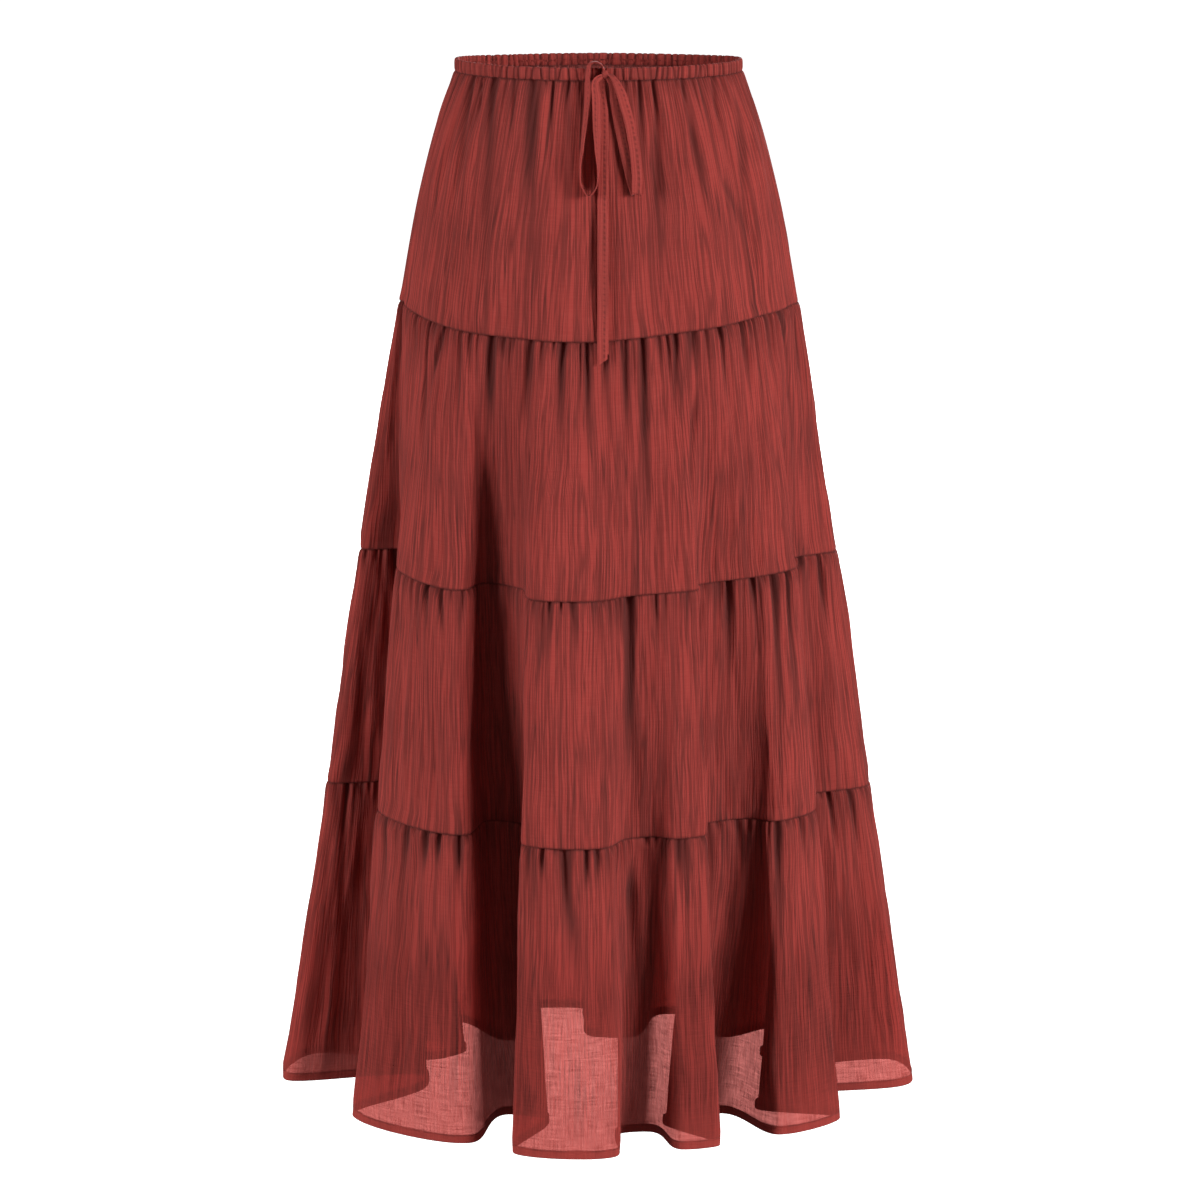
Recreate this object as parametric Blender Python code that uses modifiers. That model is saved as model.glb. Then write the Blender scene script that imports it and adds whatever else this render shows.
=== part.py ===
"""Tiered ruffle skirt: four gathered tiers under a narrow elastic casing, with a drawstring bow.

Frame: metres, +Z up, the front faces -Y and +X is to the right of someone who looks at the front.
The origin is the middle of the waist, level with the top edge of the casing at the sides.

The cloth is one closed ring at every height. A ring is an oval of the general figure with ten folds
laid on it: each fold is a crest and the valley after it, and the deepest are omega shaped, so a crest
overhangs its valleys. The folds start near the first seam and reach their full depth at the hem.
"""

import math
from collections import namedtuple

import bmesh
import bpy
import numpy as np

OBJECT_NAME = "tiered_ruffle_skirt"

# ---------------------------------------------------------------- driving dimensions, metres
CASING_HEIGHT = 0.0105
CASING_WALL = 0.0030
TIER_WALL = 0.0012
SEAM_GAP = 0.0003
TIE_WIDTH = 0.0087
TIE_WALL = 0.0012
TIE_SAMPLES = 22
TAIL_SAMPLES = 7
KNOT_HALF_SIZE = (0.0034, 0.0030, 0.0040)
KNOT_X = 0.0057
KNOT_DROP = 0.0050
KNOT_STANDOFF = 0.0056
KNOT_ROUNDING = 2

# Columns in a panel for each stretch of the ring between two of its control points.
CASING_ROWS = 1
CASING_STEPS = 2
TIER_STEPS = (2, 2, 3, 3)
TIER_ROWS = (5, 4, 4, 4)

CLOTH_RED = (0.29, 0.045, 0.038, 1.0)
CASING_RED = (0.26, 0.040, 0.034, 1.0)
TIE_RED = (0.33, 0.053, 0.044, 1.0)
CLOTH_ROUGHNESS = 0.88

# ---------------------------------------------------------------- the figure and the flare
# One row for each level. drop is below the waist at the sides, half_width and half_depth are the
# oval's, front_dip and back_dip are how much lower than the sides the level lies at front and back,
# right_lift is how much higher it lies between the front and the right side, and fan is how far, in
# degrees, the folds lie round from their bearings at the hem.
Section = namedtuple("Section", "name drop half_width half_depth front_dip back_dip right_lift fan")
SECTIONS = (
    Section("waist", 0.000, 0.1210, 0.0775, 0.0000, 0.0035, 0.0000, 13.0),
    Section("high_hip", 0.048, 0.1386, 0.0965, 0.0057, 0.0030, 0.0020, 13.0),
    Section("hip", 0.106, 0.1544, 0.1145, 0.0105, 0.0020, 0.0050, 13.0),
    Section("seam_1", 0.213, 0.1750, 0.1370, 0.0147, 0.0000, 0.0080, 12.5),
    Section("seam_2", 0.434, 0.2106, 0.1710, 0.0109, 0.0000, 0.0080, 9.5),
    Section("seam_3", 0.646, 0.2422, 0.2040, 0.0070, 0.0000, 0.0070, 5.0),
    Section("hem", 0.920, 0.2861, 0.2310, 0.0000, 0.0000, 0.0000, 0.0),
)
SEAM_DROPS = tuple(s.drop for s in SECTIONS if s.name.startswith("seam"))
HEM_DROP = SECTIONS[-1].drop

# One row for each fold, round from the left side through the front. Bearings are in degrees from the
# front towards +X, a reach is a share of the oval at the hem, and a spread is half the width of the
# crest or valley floor in degrees. lean is how far round the valley lies at the waist from where it
# lies at the hem. at_seam_1, 2 and 3 are its depth there as shares of its depth at the hem.
Fold = namedtuple(
    "Fold",
    "name crest crest_reach crest_spread valley valley_reach valley_spread lean "
    "at_seam_1 at_seam_2 at_seam_3",
)
FOLDS = (
    Fold("left_side", -101.0, 0.99, 10.0, -89.0, 0.54, 5.0, 2.0, 0.06, 0.42, 0.65),
    Fold("front_left", -42.5, 0.88, 17.0, -25.5, 0.52, 6.0, 7.0, 0.10, 0.42, 0.65),
    Fold("front_middle", -5.9, 0.97, 9.0, 9.9, 0.68, 3.3, -4.0, 0.03, 0.18, 0.38),
    Fold("front_narrow", 19.5, 0.915, 3.7, 31.0, 0.575, 10.5, -10.0, 0.04, 0.20, 0.40),
    Fold("front_right", 47.5, 0.885, 9.5, 60.5, 0.60, 6.3, -6.0, 0.05, 0.38, 0.60),
    Fold("right_side", 97.5, 0.985, 8.5, 118.0, 0.62, 5.0, 0.0, 0.05, 0.35, 0.60),
    Fold("back_right", 134.0, 0.93, 8.0, 150.0, 0.72, 4.0, 4.0, 0.03, 0.25, 0.50),
    Fold("back_narrow", 162.0, 0.95, 5.0, 176.0, 0.60, 5.0, -3.0, 0.08, 0.40, 0.65),
    Fold("back_middle", 190.0, 1.01, 7.0, 203.0, 0.62, 4.0, 3.0, 0.05, 0.30, 0.55),
    Fold("back_left", 217.0, 0.93, 7.5, 233.0, 0.58, 5.0, -5.0, 0.05, 0.35, 0.60),
)
POINTS_A_FOLD = 4
# A fold's width and place settle sooner than its depth: this is the power that says how soon.
FORMS_EARLY = 0.4
# The side seams lie on the front shoulders of the two side folds.
LEFT_SEAM = 1
RIGHT_SEAM = 5 * POINTS_A_FOLD
WHOLE_RING = len(FOLDS) * POINTS_A_FOLD


def smooth_through(stations, values, at):
    """A smooth curve through values at the rising stations, read at one place."""
    stations = np.asarray(stations, float)
    values = np.asarray(values, float)
    slopes = np.gradient(values, stations, axis=0)
    i = int(np.clip(np.searchsorted(stations, at) - 1, 0, len(stations) - 2))
    span = stations[i + 1] - stations[i]
    u = (at - stations[i]) / span
    return (
        (1 + 2 * u) * (1 - u) ** 2 * values[i]
        + u * (1 - u) ** 2 * span * slopes[i]
        + u * u * (3 - 2 * u) * values[i + 1]
        - u * u * (1 - u) * span * slopes[i + 1]
    )


def section_at(drop):
    """The section's numbers at any drop, in the order of Section's fields after its drop."""
    drops = [s.drop for s in SECTIONS]
    return smooth_through(drops, [s[2:] for s in SECTIONS], drop)


def valley_share(fold, drop):
    """How much of its depth at the hem a valley has at this drop."""
    levels = (0.0,) + SEAM_DROPS + (HEM_DROP,)
    shares = (0.0, fold.at_seam_1, fold.at_seam_2, fold.at_seam_3, 1.0)
    return float(np.clip(smooth_through(levels, shares, drop), 0.0, 1.0))


def control_points(drop):
    """The plan of the ring at this drop: two points on each crest and two on each valley floor."""
    half_width, half_depth, _, _, _, fan = section_at(drop)
    depths = [valley_share(fold, drop) for fold in FOLDS]
    formed = [depth**FORMS_EARLY for depth in depths]
    valleys = [fold.valley + fold.lean * (1 - f) for fold, f in zip(FOLDS, formed)]
    plan = []

    def place(bearing, reach):
        turned = math.radians(bearing + fan * math.sin(2 * math.radians(bearing)))
        plan.append((half_width * reach * math.sin(turned), -half_depth * reach * math.cos(turned)))

    def gap(start, end):
        """Where the cloth lies smooth, the four points of a fold share its bearings out evenly."""
        return (end - start) % 360 / POINTS_A_FOLD

    for i, fold in enumerate(FOLDS):
        after = FOLDS[(i + 1) % len(FOLDS)]
        crest_formed = 0.5 * (formed[i - 1] + formed[i])
        next_formed = 0.5 * (formed[i] + formed[(i + 1) % len(FOLDS)])
        crest = fold.crest + 0.5 * (FOLDS[i - 1].lean + fold.lean) * (1 - crest_formed)
        next_crest = after.crest + 0.5 * (fold.lean + after.lean) * (1 - next_formed)
        crest_reach = 1 + (fold.crest_reach - 1) * crest_formed
        valley_reach = 1 + (fold.valley_reach - 1) * depths[i]
        crest_spread = fold.crest_spread * crest_formed
        valley_spread = fold.valley_spread * formed[i]
        place(crest - crest_spread - gap(valleys[i - 1], crest) * (1 - crest_formed), crest_reach)
        place(crest + crest_spread + gap(crest, valleys[i]) * (1 - crest_formed), crest_reach)
        place(valleys[i] - valley_spread - gap(crest, valleys[i]) * (1 - formed[i]), valley_reach)
        place(valleys[i] + valley_spread + gap(valleys[i], next_crest) * (1 - formed[i]), valley_reach)
    return np.array(plan)


def ring(drop, params):
    """Points of the cloth's middle surface at this drop and its level outward normals there."""
    plan = control_points(drop)
    count = len(plan)
    chords = np.linalg.norm(np.roll(plan, -1, axis=0) - plan, axis=1)
    before = np.roll(chords, 1)
    rise_before = (plan - np.roll(plan, 1, axis=0)) / before[:, None]
    rise_after = (np.roll(plan, -1, axis=0) - plan) / chords[:, None]
    # The slope of the parabola through each point and its two neighbours.
    slopes = (rise_before * chords[:, None] + rise_after * before[:, None]) / (chords + before)[:, None]
    i = np.floor(params).astype(int) % count
    j = (i + 1) % count
    u = (params - np.floor(params))[:, None]
    span = chords[i][:, None]
    at = (
        (1 + 2 * u) * (1 - u) ** 2 * plan[i]
        + u * (1 - u) ** 2 * span * slopes[i]
        + u * u * (3 - 2 * u) * plan[j]
        - u * u * (1 - u) * span * slopes[j]
    )
    along = (
        6 * u * (u - 1) * (plan[i] - plan[j])
        + (1 - u) * (1 - 3 * u) * span * slopes[i]
        + u * (3 * u - 2) * span * slopes[j]
    )
    along /= np.linalg.norm(along, axis=1)[:, None]
    half_width, half_depth, front_dip, back_dip, right_lift, _ = section_at(drop)
    forward = np.clip(-at[:, 1] / half_depth, -1, 1)
    rightward = np.clip(at[:, 0] / half_width, 0, 1)
    dip = np.where(forward > 0, front_dip, back_dip) * forward**2 * (3 - 2 * np.abs(forward))
    dip -= right_lift * 2 * rightward * np.maximum(forward, 0)
    points = np.column_stack([at, -(drop + dip)])
    normals = np.column_stack([along[:, 1], -along[:, 0], np.zeros(len(at))])
    return points, normals


# ---------------------------------------------------------------- making objects
def cloth_material(name, colour):
    material = bpy.data.materials.new(name)
    material.use_nodes = True
    shader = material.node_tree.nodes["Principled BSDF"]
    shader.inputs["Base Color"].default_value = colour
    shader.inputs["Roughness"].default_value = CLOTH_ROUGHNESS
    shader.inputs["Metallic"].default_value = 0.0
    material.diffuse_color = colour
    return material


def add_object(name, shape, collection, material):
    """A new object from a bmesh, shaded smooth."""
    mesh = bpy.data.meshes.new(name)
    bmesh.ops.recalc_face_normals(shape, faces=shape.faces)
    shape.to_mesh(mesh)
    shape.free()
    mesh.shade_smooth()
    mesh.materials.append(material)
    made = bpy.data.objects.new(name, mesh)
    collection.objects.link(made)
    return made


def closed_wall(sheet_rows, normal_rows, wall):
    """A closed wall on rows of middle points: two skins with a rim round all four edges."""
    shape = bmesh.new()
    skins = []
    for side in (0.5, -0.5):
        skins.append(
            [
                [shape.verts.new(p + n * wall * side) for p, n in zip(points, normals)]
                for points, normals in zip(sheet_rows, normal_rows)
            ]
        )
    outer, inner = skins
    last_row, last_column = len(outer) - 1, len(outer[0]) - 1
    for r in range(last_row):
        for c in range(last_column):
            for skin in skins:
                shape.faces.new((skin[r][c], skin[r][c + 1], skin[r + 1][c + 1], skin[r + 1][c]))
    for c in range(last_column):
        for r in (0, last_row):
            shape.faces.new((outer[r][c], outer[r][c + 1], inner[r][c + 1], inner[r][c]))
    for r in range(last_row):
        for c in (0, last_column):
            shape.faces.new((outer[r][c], outer[r + 1][c], inner[r + 1][c], inner[r][c]))
    return shape


def cloth_panel(name, stretch, drops, grid, wall, collection, material):
    """The cloth between two drops, from one side seam to the other. grid is its rows and steps."""
    rows, steps = grid
    start, end = stretch
    params = np.linspace(start, end, (end - start) * steps + 1)
    sheet_rows, normal_rows = [], []
    for row, drop in enumerate(np.linspace(*drops, rows + 1)):
        points, normals = ring(drop, params)
        # Each panel stops half a gap short of the side seams and of the seams over and under it.
        for edge, inside in ((0, 1), (-1, -2)):
            step = points[inside] - points[edge]
            points[edge] += step / np.linalg.norm(step) * SEAM_GAP / 2
        if row == 0:
            points[:, 2] -= SEAM_GAP / 2
        if row == rows:
            points[:, 2] += SEAM_GAP / 2
        sheet_rows.append(points)
        normal_rows.append(normals)
    return add_object(name, closed_wall(sheet_rows, normal_rows, wall), collection, material)


# ---------------------------------------------------------------- the drawstring
# A row for each place the tie passes: x, drop, standoff from the cloth's middle surface to the middle
# of the tie, and turn, the direction in plan that the tie's width lies along, in degrees from +X
# towards the front. The tie shows its face at a turn of 0 and its edge at 90.
Stop = namedtuple("Stop", "x drop standoff turn")
LOOP_LEFT = (
    Stop(0.0028, -0.0026, 0.0066, 90),
    Stop(-0.0021, -0.0052, 0.0066, 86),
    Stop(-0.0067, -0.0040, 0.0068, 72),
    Stop(-0.0087, 0.0030, 0.0068, 62),
    Stop(-0.0091, 0.0161, 0.0066, 62),
    Stop(-0.0107, 0.0345, 0.0064, 66),
    Stop(-0.0136, 0.0570, 0.0064, 75),
    Stop(-0.0157, 0.0756, 0.0064, 86),
    Stop(-0.0140, 0.0878, 0.0068, 90),
    Stop(-0.0080, 0.0952, 0.0076, 90),
    Stop(-0.0023, 0.0895, 0.0084, 90),
    Stop(-0.0004, 0.0773, 0.0088, 96),
    Stop(-0.0009, 0.0606, 0.0084, 118),
    Stop(-0.0013, 0.0421, 0.0080, 140),
    Stop(-0.0015, 0.0236, 0.0078, 152),
    Stop(-0.0013, 0.0086, 0.0079, 155),
)
LOOP_RIGHT = (
    Stop(0.0108, 0.0057, 0.0078, -24),
    Stop(0.0135, 0.0084, 0.0084, -22),
    Stop(0.0181, 0.0163, 0.0086, -16),
    Stop(0.0226, 0.0282, 0.0084, -10),
    Stop(0.0267, 0.0419, 0.0080, -4),
    Stop(0.0303, 0.0595, 0.0076, 0),
    Stop(0.0321, 0.0750, 0.0072, 0),
    Stop(0.0327, 0.0881, 0.0066, 0),
    Stop(0.0321, 0.0960, 0.0044, 0),
    Stop(0.0297, 0.0904, 0.0024, 0),
    Stop(0.0258, 0.0764, 0.0022, 0),
    Stop(0.0215, 0.0597, 0.0022, 0),
    Stop(0.0172, 0.0404, 0.0024, 0),
    Stop(0.0141, 0.0246, 0.0042, 0),
    Stop(0.0114, 0.0115, 0.0060, 0),
)
TAIL_BACK = (
    Stop(0.0044, 0.0094, 0.0025, 0),
    Stop(0.0041, 0.0370, 0.0017, 0),
    Stop(0.0040, 0.1102, 0.0017, 0),
    Stop(0.0043, 0.2205, 0.0017, 0),
)
TAIL_FRONT = (
    Stop(0.0038, 0.0094, 0.0040, 0),
    Stop(0.0036, 0.0367, 0.0033, 0),
    Stop(0.0035, 0.1093, 0.0033, 0),
    Stop(0.0033, 0.2296, 0.0033, 0),
)


def in_front(x, drop, standoff):
    """The place over the front cloth at this x and drop, standoff away from its middle surface."""
    params = np.linspace(LEFT_SEAM, RIGHT_SEAM, 40 * (RIGHT_SEAM - LEFT_SEAM) + 1)
    below_top = max(drop, 0.0)
    points, _ = ring(below_top, params)
    nearest = points[np.argmin(np.abs(points[:, 0] - x))]
    return np.array([x, nearest[1] - standoff, nearest[2] + below_top - drop])


def tie_stretch(name, stops, samples, collection, material):
    """A flat stretch of the tie through its stops: a strip with a Solidify wall."""
    centres = np.array([in_front(s.x, s.drop, s.standoff) for s in stops])
    stations = np.concatenate([[0], np.cumsum(np.linalg.norm(np.diff(centres, axis=0), axis=1))])
    along = np.linspace(0, stations[-1], samples)
    route = np.array([smooth_through(stations, centres, a) for a in along])
    turns = [math.radians(smooth_through(stations, [s.turn for s in stops], a)) for a in along]
    tangents = np.gradient(route, axis=0)
    shape = bmesh.new()
    edges = []
    for point, tangent, turn in zip(route, tangents, turns):
        tangent = tangent / np.linalg.norm(tangent)
        across = np.array([math.cos(turn), -math.sin(turn), 0.0])
        across -= tangent * across.dot(tangent)
        across *= TIE_WIDTH / 2 / np.linalg.norm(across)
        edges.append([shape.verts.new(point - across), shape.verts.new(point + across)])
    for (a, b), (c, d) in zip(edges, edges[1:]):
        shape.faces.new((a, b, d, c))
    made = add_object(name, shape, collection, material)
    wall = made.modifiers.new("wall", "SOLIDIFY")
    wall.thickness = TIE_WALL
    wall.offset = 0.0
    wall.use_even_offset = True
    return made


def knot(collection, material):
    """The soft lump of the tied knot: a coarse block under a Subdivision Surface."""
    shape = bmesh.new()
    bmesh.ops.create_cube(shape, size=2.0)
    bmesh.ops.scale(shape, vec=KNOT_HALF_SIZE, verts=shape.verts)
    made = add_object("drawstring_knot", shape, collection, material)
    made.location = in_front(KNOT_X, KNOT_DROP, KNOT_STANDOFF)
    rounding = made.modifiers.new("rounding", "SUBSURF")
    rounding.levels = KNOT_ROUNDING
    rounding.render_levels = KNOT_ROUNDING
    return made


# ---------------------------------------------------------------- the whole skirt
def build():
    for old in list(bpy.data.objects):
        bpy.data.objects.remove(old, do_unlink=True)
    skirt = bpy.data.collections.new(OBJECT_NAME)
    bpy.context.scene.collection.children.link(skirt)
    cloth = cloth_material("crinkle_cloth", CLOTH_RED)
    casing = cloth_material("casing_cloth", CASING_RED)
    tie = cloth_material("tie_cloth", TIE_RED)

    levels = (CASING_HEIGHT,) + SEAM_DROPS + (HEM_DROP,)
    panels = (("front", LEFT_SEAM, RIGHT_SEAM), ("back", RIGHT_SEAM, LEFT_SEAM + WHOLE_RING))
    for side, start, end in panels:
        stretch = (start, end)
        cloth_panel(
            f"waistband_{side}", stretch, (0.0, CASING_HEIGHT), (CASING_ROWS, CASING_STEPS),
            CASING_WALL, skirt, casing,
        )
        for tier, grid in enumerate(zip(TIER_ROWS, TIER_STEPS)):
            cloth_panel(
                f"tier_{tier + 1}_{side}", stretch, (levels[tier], levels[tier + 1]), grid,
                TIER_WALL, skirt, cloth,
            )

    knot(skirt, tie)
    tie_stretch("drawstring_loop_left", LOOP_LEFT, TIE_SAMPLES, skirt, tie)
    tie_stretch("drawstring_loop_right", LOOP_RIGHT, TIE_SAMPLES, skirt, tie)
    tie_stretch("drawstring_tail_back", TAIL_BACK, TAIL_SAMPLES, skirt, tie)
    tie_stretch("drawstring_tail_front", TAIL_FRONT, TAIL_SAMPLES, skirt, tie)


build()
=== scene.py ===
"""The looks of the tiered ruffle skirt: sheer crinkled gauze sheets on the frame's tiers, a ruched
casing, gathered seams, a folded hem and a flat edge-stitched tie in a bow.

Metres, +Z up, the front faces -Y. The cloth is one closed ring at every drop below the waist, and a
place on it is (t, drop): t counts the ring's control points, four to a fold. Sheet coordinates are
metres of cut cloth: across, round the skirt, and down, from the seam above.
"""

import math
from collections import namedtuple

import bpy
import numpy as np
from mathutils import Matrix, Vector


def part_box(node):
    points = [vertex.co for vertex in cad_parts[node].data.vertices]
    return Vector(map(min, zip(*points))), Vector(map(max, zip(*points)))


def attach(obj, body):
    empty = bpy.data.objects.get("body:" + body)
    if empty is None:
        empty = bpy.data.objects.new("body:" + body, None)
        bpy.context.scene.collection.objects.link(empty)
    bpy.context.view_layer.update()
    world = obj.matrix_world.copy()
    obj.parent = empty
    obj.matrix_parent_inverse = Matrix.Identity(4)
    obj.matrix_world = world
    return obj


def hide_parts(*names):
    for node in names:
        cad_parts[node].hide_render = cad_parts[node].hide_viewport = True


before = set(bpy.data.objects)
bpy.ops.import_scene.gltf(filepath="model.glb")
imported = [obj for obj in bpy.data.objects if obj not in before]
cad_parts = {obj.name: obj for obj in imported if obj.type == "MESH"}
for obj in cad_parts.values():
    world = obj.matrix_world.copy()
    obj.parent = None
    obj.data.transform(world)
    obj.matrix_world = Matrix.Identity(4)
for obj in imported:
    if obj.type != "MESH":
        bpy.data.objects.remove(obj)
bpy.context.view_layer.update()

# ---------------------------------------------------------------- the camera, before anything else
CAMERA_PLACE = (0.0013, -4.5, 0.45)
CAMERA_DIP = math.radians(11.6585)
CAMERA_LENS = 156.07


def make_camera():
    data = bpy.data.cameras.new("camera")
    data.lens = CAMERA_LENS
    data.sensor_width = 36.0
    camera = bpy.data.objects.new("camera", data)
    camera.location = CAMERA_PLACE
    camera.rotation_euler = (math.pi / 2 - CAMERA_DIP, 0.0, 0.0)
    bpy.context.scene.collection.objects.link(camera)
    bpy.context.scene.camera = camera


make_camera()

# ---------------------------------------------------------------- the skirt's form, as in the frame
CASING_HEIGHT = 0.0105
CASING_WALL = 0.0030
TIE_WIDTH = 0.0087

# The numbers of the sections were last fitted by a separate script, and then rounded.
Section = namedtuple("Section", "name drop half_width half_depth front_dip back_dip right_lift fan")
SECTIONS = (
    Section("waist", 0.000, 0.1210, 0.0775, 0.0000, 0.0035, 0.0000, 13.0),
    Section("high_hip", 0.048, 0.1386, 0.0965, 0.0057, 0.0030, 0.0020, 13.0),
    Section("hip", 0.106, 0.1544, 0.1145, 0.0105, 0.0020, 0.0050, 13.0),
    Section("seam_1", 0.213, 0.1750, 0.1370, 0.0147, 0.0000, 0.0080, 12.5),
    Section("seam_2", 0.434, 0.2106, 0.1710, 0.0109, 0.0000, 0.0080, 9.5),
    Section("seam_3", 0.646, 0.2422, 0.2040, 0.0070, 0.0000, 0.0070, 5.0),
    Section("hem", 0.920, 0.2861, 0.2310, 0.0000, 0.0000, 0.0000, 0.0),
)
SEAM_DROPS = tuple(s.drop for s in SECTIONS if s.name.startswith("seam"))
HEM_DROP = SECTIONS[-1].drop

Fold = namedtuple(
    "Fold",
    "name crest crest_reach crest_spread valley valley_reach valley_spread lean "
    "at_seam_1 at_seam_2 at_seam_3",
)
FOLDS = (
    Fold("left_side", -101.0, 0.99, 10.0, -89.0, 0.54, 5.0, 2.0, 0.06, 0.42, 0.65),
    Fold("front_left", -42.5, 0.88, 17.0, -25.5, 0.52, 6.0, 7.0, 0.10, 0.42, 0.65),
    Fold("front_middle", -5.9, 0.97, 9.0, 9.9, 0.68, 3.3, -4.0, 0.03, 0.18, 0.38),
    Fold("front_narrow", 19.5, 0.915, 3.7, 31.0, 0.575, 10.5, -10.0, 0.04, 0.20, 0.40),
    Fold("front_right", 47.5, 0.885, 9.5, 60.5, 0.60, 6.3, -6.0, 0.05, 0.38, 0.60),
    Fold("right_side", 97.5, 0.985, 8.5, 118.0, 0.62, 5.0, 0.0, 0.05, 0.35, 0.60),
    Fold("back_right", 134.0, 0.93, 8.0, 150.0, 0.72, 4.0, 4.0, 0.03, 0.25, 0.50),
    Fold("back_narrow", 162.0, 0.95, 5.0, 176.0, 0.60, 5.0, -3.0, 0.08, 0.40, 0.65),
    Fold("back_middle", 190.0, 1.01, 7.0, 203.0, 0.62, 4.0, 3.0, 0.05, 0.30, 0.55),
    Fold("back_left", 217.0, 0.93, 7.5, 233.0, 0.58, 5.0, -5.0, 0.05, 0.35, 0.60),
)
POINTS_A_FOLD = 4
FORMS_EARLY = 0.4
LEFT_SEAM = 1
RIGHT_SEAM = 5 * POINTS_A_FOLD
WHOLE_RING = len(FOLDS) * POINTS_A_FOLD


def smooth_through(stations, values, at):
    """A smooth curve through values at the rising stations, read at one place."""
    stations = np.asarray(stations, float)
    values = np.asarray(values, float)
    slopes = np.gradient(values, stations, axis=0)
    i = int(np.clip(np.searchsorted(stations, at) - 1, 0, len(stations) - 2))
    span = stations[i + 1] - stations[i]
    u = (at - stations[i]) / span
    return (
        (1 + 2 * u) * (1 - u) ** 2 * values[i]
        + u * (1 - u) ** 2 * span * slopes[i]
        + u * u * (3 - 2 * u) * values[i + 1]
        - u * u * (1 - u) * span * slopes[i + 1]
    )


def section_at(drop):
    """The section's numbers at any drop, in the order of Section's fields after its drop."""
    drops = [s.drop for s in SECTIONS]
    return smooth_through(drops, [s[2:] for s in SECTIONS], drop)


def valley_share(fold, drop):
    """How much of its depth at the hem a valley has at this drop."""
    levels = (0.0,) + SEAM_DROPS + (HEM_DROP,)
    shares = (0.0, fold.at_seam_1, fold.at_seam_2, fold.at_seam_3, 1.0)
    return float(np.clip(smooth_through(levels, shares, drop), 0.0, 1.0))


def control_points(drop):
    """The plan of the ring at this drop: two points on each crest and two on each valley floor."""
    half_width, half_depth, _, _, _, fan = section_at(drop)
    depths = [valley_share(fold, drop) for fold in FOLDS]
    formed = [depth**FORMS_EARLY for depth in depths]
    valleys = [fold.valley + fold.lean * (1 - f) for fold, f in zip(FOLDS, formed)]
    plan = []

    def place(bearing, reach):
        turned = math.radians(bearing + fan * math.sin(2 * math.radians(bearing)))
        plan.append((half_width * reach * math.sin(turned), -half_depth * reach * math.cos(turned)))

    def gap(start, end):
        """Where the cloth lies smooth, the four points of a fold share its bearings out evenly."""
        return (end - start) % 360 / POINTS_A_FOLD

    for i, fold in enumerate(FOLDS):
        after = FOLDS[(i + 1) % len(FOLDS)]
        crest_formed = 0.5 * (formed[i - 1] + formed[i])
        next_formed = 0.5 * (formed[i] + formed[(i + 1) % len(FOLDS)])
        crest = fold.crest + 0.5 * (FOLDS[i - 1].lean + fold.lean) * (1 - crest_formed)
        next_crest = after.crest + 0.5 * (fold.lean + after.lean) * (1 - next_formed)
        crest_reach = 1 + (fold.crest_reach - 1) * crest_formed
        valley_reach = 1 + (fold.valley_reach - 1) * depths[i]
        crest_spread = fold.crest_spread * crest_formed
        valley_spread = fold.valley_spread * formed[i]
        place(crest - crest_spread - gap(valleys[i - 1], crest) * (1 - crest_formed), crest_reach)
        place(crest + crest_spread + gap(crest, valleys[i]) * (1 - crest_formed), crest_reach)
        place(valleys[i] - valley_spread - gap(crest, valleys[i]) * (1 - formed[i]), valley_reach)
        place(valleys[i] + valley_spread + gap(valleys[i], next_crest) * (1 - formed[i]), valley_reach)
    return np.array(plan)


def ring(drop, params):
    """Points of the cloth's middle surface at this drop and its level outward normals there."""
    plan = control_points(drop)
    count = len(plan)
    chords = np.linalg.norm(np.roll(plan, -1, axis=0) - plan, axis=1)
    before = np.roll(chords, 1)
    rise_before = (plan - np.roll(plan, 1, axis=0)) / before[:, None]
    rise_after = (np.roll(plan, -1, axis=0) - plan) / chords[:, None]
    # The slope of the parabola through each point and its two neighbours.
    slopes = (rise_before * chords[:, None] + rise_after * before[:, None]) / (chords + before)[:, None]
    i = np.floor(params).astype(int) % count
    j = (i + 1) % count
    u = (params - np.floor(params))[:, None]
    span = chords[i][:, None]
    at = (
        (1 + 2 * u) * (1 - u) ** 2 * plan[i]
        + u * (1 - u) ** 2 * span * slopes[i]
        + u * u * (3 - 2 * u) * plan[j]
        - u * u * (1 - u) * span * slopes[j]
    )
    along = (
        6 * u * (u - 1) * (plan[i] - plan[j])
        + (1 - u) * (1 - 3 * u) * span * slopes[i]
        + u * (3 * u - 2) * span * slopes[j]
    )
    along /= np.linalg.norm(along, axis=1)[:, None]
    half_width, half_depth, front_dip, back_dip, right_lift, _ = section_at(drop)
    forward = np.clip(-at[:, 1] / half_depth, -1, 1)
    rightward = np.clip(at[:, 0] / half_width, 0, 1)
    dip = np.where(forward > 0, front_dip, back_dip) * forward**2 * (3 - 2 * np.abs(forward))
    dip -= right_lift * 2 * rightward * np.maximum(forward, 0)
    points = np.column_stack([at, -(drop + dip)])
    normals = np.column_stack([along[:, 1], -along[:, 0], np.zeros(len(at))])
    return points, normals


# ---------------------------------------------------------------- relief helpers
def soft_noise(across, down, cell, seed):
    """Smooth noise from -1 to 1 over the cloth. cell is its grain across and down, in metres."""
    table = np.random.default_rng(seed).uniform(-1, 1, (256, 256))
    x, y = across / cell[0] + 128.0, down / cell[1] + 128.0
    i, j = np.floor(x).astype(int), np.floor(y).astype(int)
    fx, fy = x - i, y - j
    fx, fy = fx * fx * (3 - 2 * fx), fy * fy * (3 - 2 * fy)
    low = table[i % 256, j % 256] * (1 - fx) + table[(i + 1) % 256, j % 256] * fx
    high = table[i % 256, (j + 1) % 256] * (1 - fx) + table[(i + 1) % 256, (j + 1) % 256] * fx
    return low * (1 - fy) + high * fy


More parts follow.
